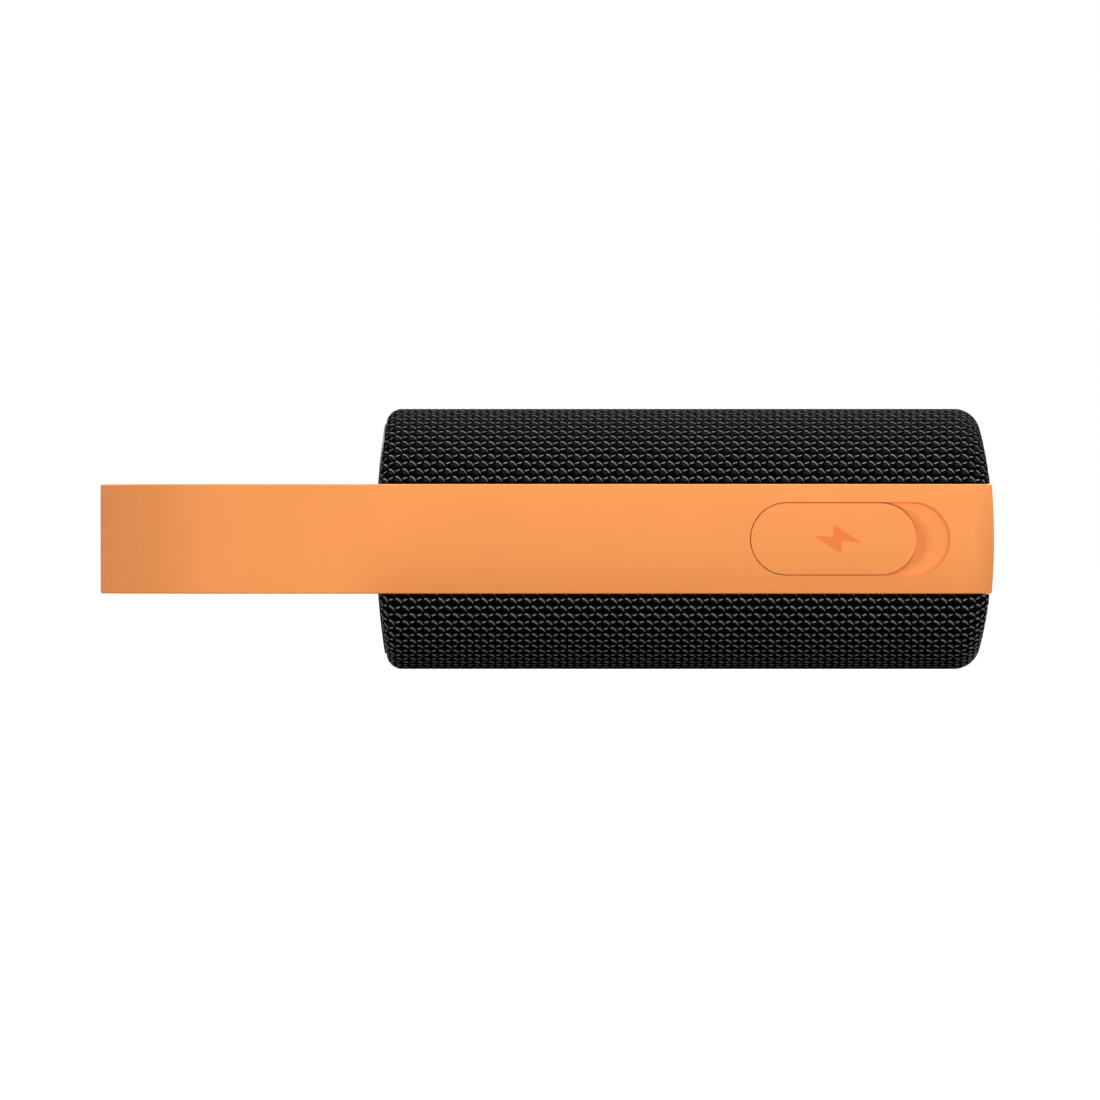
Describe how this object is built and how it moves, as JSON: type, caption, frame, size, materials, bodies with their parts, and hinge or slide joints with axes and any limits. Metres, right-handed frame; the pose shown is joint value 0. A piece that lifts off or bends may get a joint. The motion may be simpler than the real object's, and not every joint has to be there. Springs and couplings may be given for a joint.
{
  "type": "portable bluetooth speaker",
  "caption": "Pocket wireless speaker: pill-section knit-covered body, silicone band that forms a carry loop, rubber charge-port flap, push buttons, driver and passive radiator.",
  "frame": {"origin": "bottom centre of the bounding box, on the floor that the back fabric lies on", "axes": "+X from the carry loop towards the rounded bottom end, +Z out of the front fabric, -Y towards the charging port"},
  "size_m": [0.1374, 0.0744, 0.04],
  "materials": {
    "knit": "black 3-D knitted mesh",
    "shell_plastic": "fine matt moulding",
    "grille_metal": "matt black paint",
    "seal_rubber": "matt",
    "orange_silicone": "smooth, soft-touch matt",
    "icon_silicone": "smooth matt, darker orange",
    "panel_plastic": "satin",
    "button_rubber": "matt",
    "light_pipe": "frosted clear",
    "circuit_board": "solder mask",
    "chip_plastic": "moulded",
    "white_plastic": "moulded",
    "steel": "plated",
    "receptacle_steel": "polished",
    "magnet_ferrite": "sintered, dull",
    "frame_metal": "black paint",
    "cone_paper": "coated pulp",
    "coil_copper": "enamelled wire",
    "spider_cloth": "resin-dipped cloth",
    "radiator_weight": "brushed",
    "foil": "laminated pouch",
    "foam": "foam",
    "flex_film": "amber film",
    "wire_cover": "smooth"
  },
  "bodies": {
    "housing": {"front_fabric": "knit", "rear_fabric": "knit", "front_shell": "shell_plastic", "rear_shell": "shell_plastic", "housing_seal": "seal_rubber", "front_grille": "grille_metal", "rear_grille": "grille_metal", "strap_band": "orange_silicone", "port_housing": "shell_plastic", "port_seal": "seal_rubber", "usb_c_receptacle": "receptacle_steel", "usb_c_tongue": "chip_plastic", "usb_board": "circuit_board", "top_panel": "panel_plastic", "led_window": "light_pipe", "tact_switches": "chip_plastic", "button_board": "circuit_board", "button_flex": "flex_film", "driver_frame": "frame_metal", "driver_gasket": "foam", "driver_top_plate": "steel", "driver_magnet": "magnet_ferrite", "driver_yoke": "steel", "driver_surround": "seal_rubber", "driver_terminal": "white_plastic", "driver_spider": "spider_cloth", "radiator_frame": "frame_metal", "radiator_surround": "seal_rubber", "main_board": "circuit_board", "board_chips": "chip_plastic", "board_connectors": "white_plastic", "battery_cell": "foil", "battery_pad": "foam", "battery_tray": "shell_plastic", "housing_screws": "steel", "driver_screws": "steel", "usb_screws": "steel", "tray_screws": "steel", "panel_screws": "steel", "speaker_leads": "wire_cover", "battery_leads": "wire_cover", "usb_leads": "wire_cover"},
    "flap": {"usb_flap": "orange_silicone", "charge_icon": "icon_silicone"},
    "cone": {"driver_cone": "cone_paper", "dust_cap": "cone_paper", "voice_coil": "coil_copper"},
    "radiator": {"radiator_plate": "radiator_weight"},
    "power_key": {"button_power": "button_rubber"},
    "volume_down_key": {"button_volume_down": "button_rubber"},
    "play_key": {"button_play": "button_rubber"},
    "volume_up_key": {"button_volume_up": "button_rubber"},
    "pair_key": {"button_pair": "button_rubber"}
  },
  "joints": [
    {"name": "flap_hinge", "type": "hinge", "parent": "housing", "child": "flap", "pos_m": [0.0313, -0.03725, 0.02], "axis": [0, 0, -1], "range_deg": [0, 110], "stiffness_Nm_per_rad": 0.0008},
    {"name": "power_press", "type": "slide", "parent": "housing", "child": "power_key", "axis": [1, 0, 0], "range_m": [0, 0.0005], "stiffness_N_per_m": 3000},
    {"name": "volume_down_press", "type": "slide", "parent": "housing", "child": "volume_down_key", "axis": [1, 0, 0], "range_m": [0, 0.0005], "stiffness_N_per_m": 3000},
    {"name": "play_press", "type": "slide", "parent": "housing", "child": "play_key", "axis": [1, 0, 0], "range_m": [0, 0.0005], "stiffness_N_per_m": 3000},
    {"name": "volume_up_press", "type": "slide", "parent": "housing", "child": "volume_up_key", "axis": [1, 0, 0], "range_m": [0, 0.0005], "stiffness_N_per_m": 3000},
    {"name": "pair_press", "type": "slide", "parent": "housing", "child": "pair_key", "axis": [1, 0, 0], "range_m": [0, 0.0005], "stiffness_N_per_m": 3000},
    {"name": "cone_travel", "type": "slide", "parent": "housing", "child": "cone", "axis": [0, 0, 1], "range_m": [-0.0015, 0.0015], "stiffness_N_per_m": 800},
    {"name": "radiator_travel", "type": "slide", "parent": "housing", "child": "radiator", "axis": [0, 0, 1], "range_m": [-0.002, 0.002], "stiffness_N_per_m": 600}
  ]
}
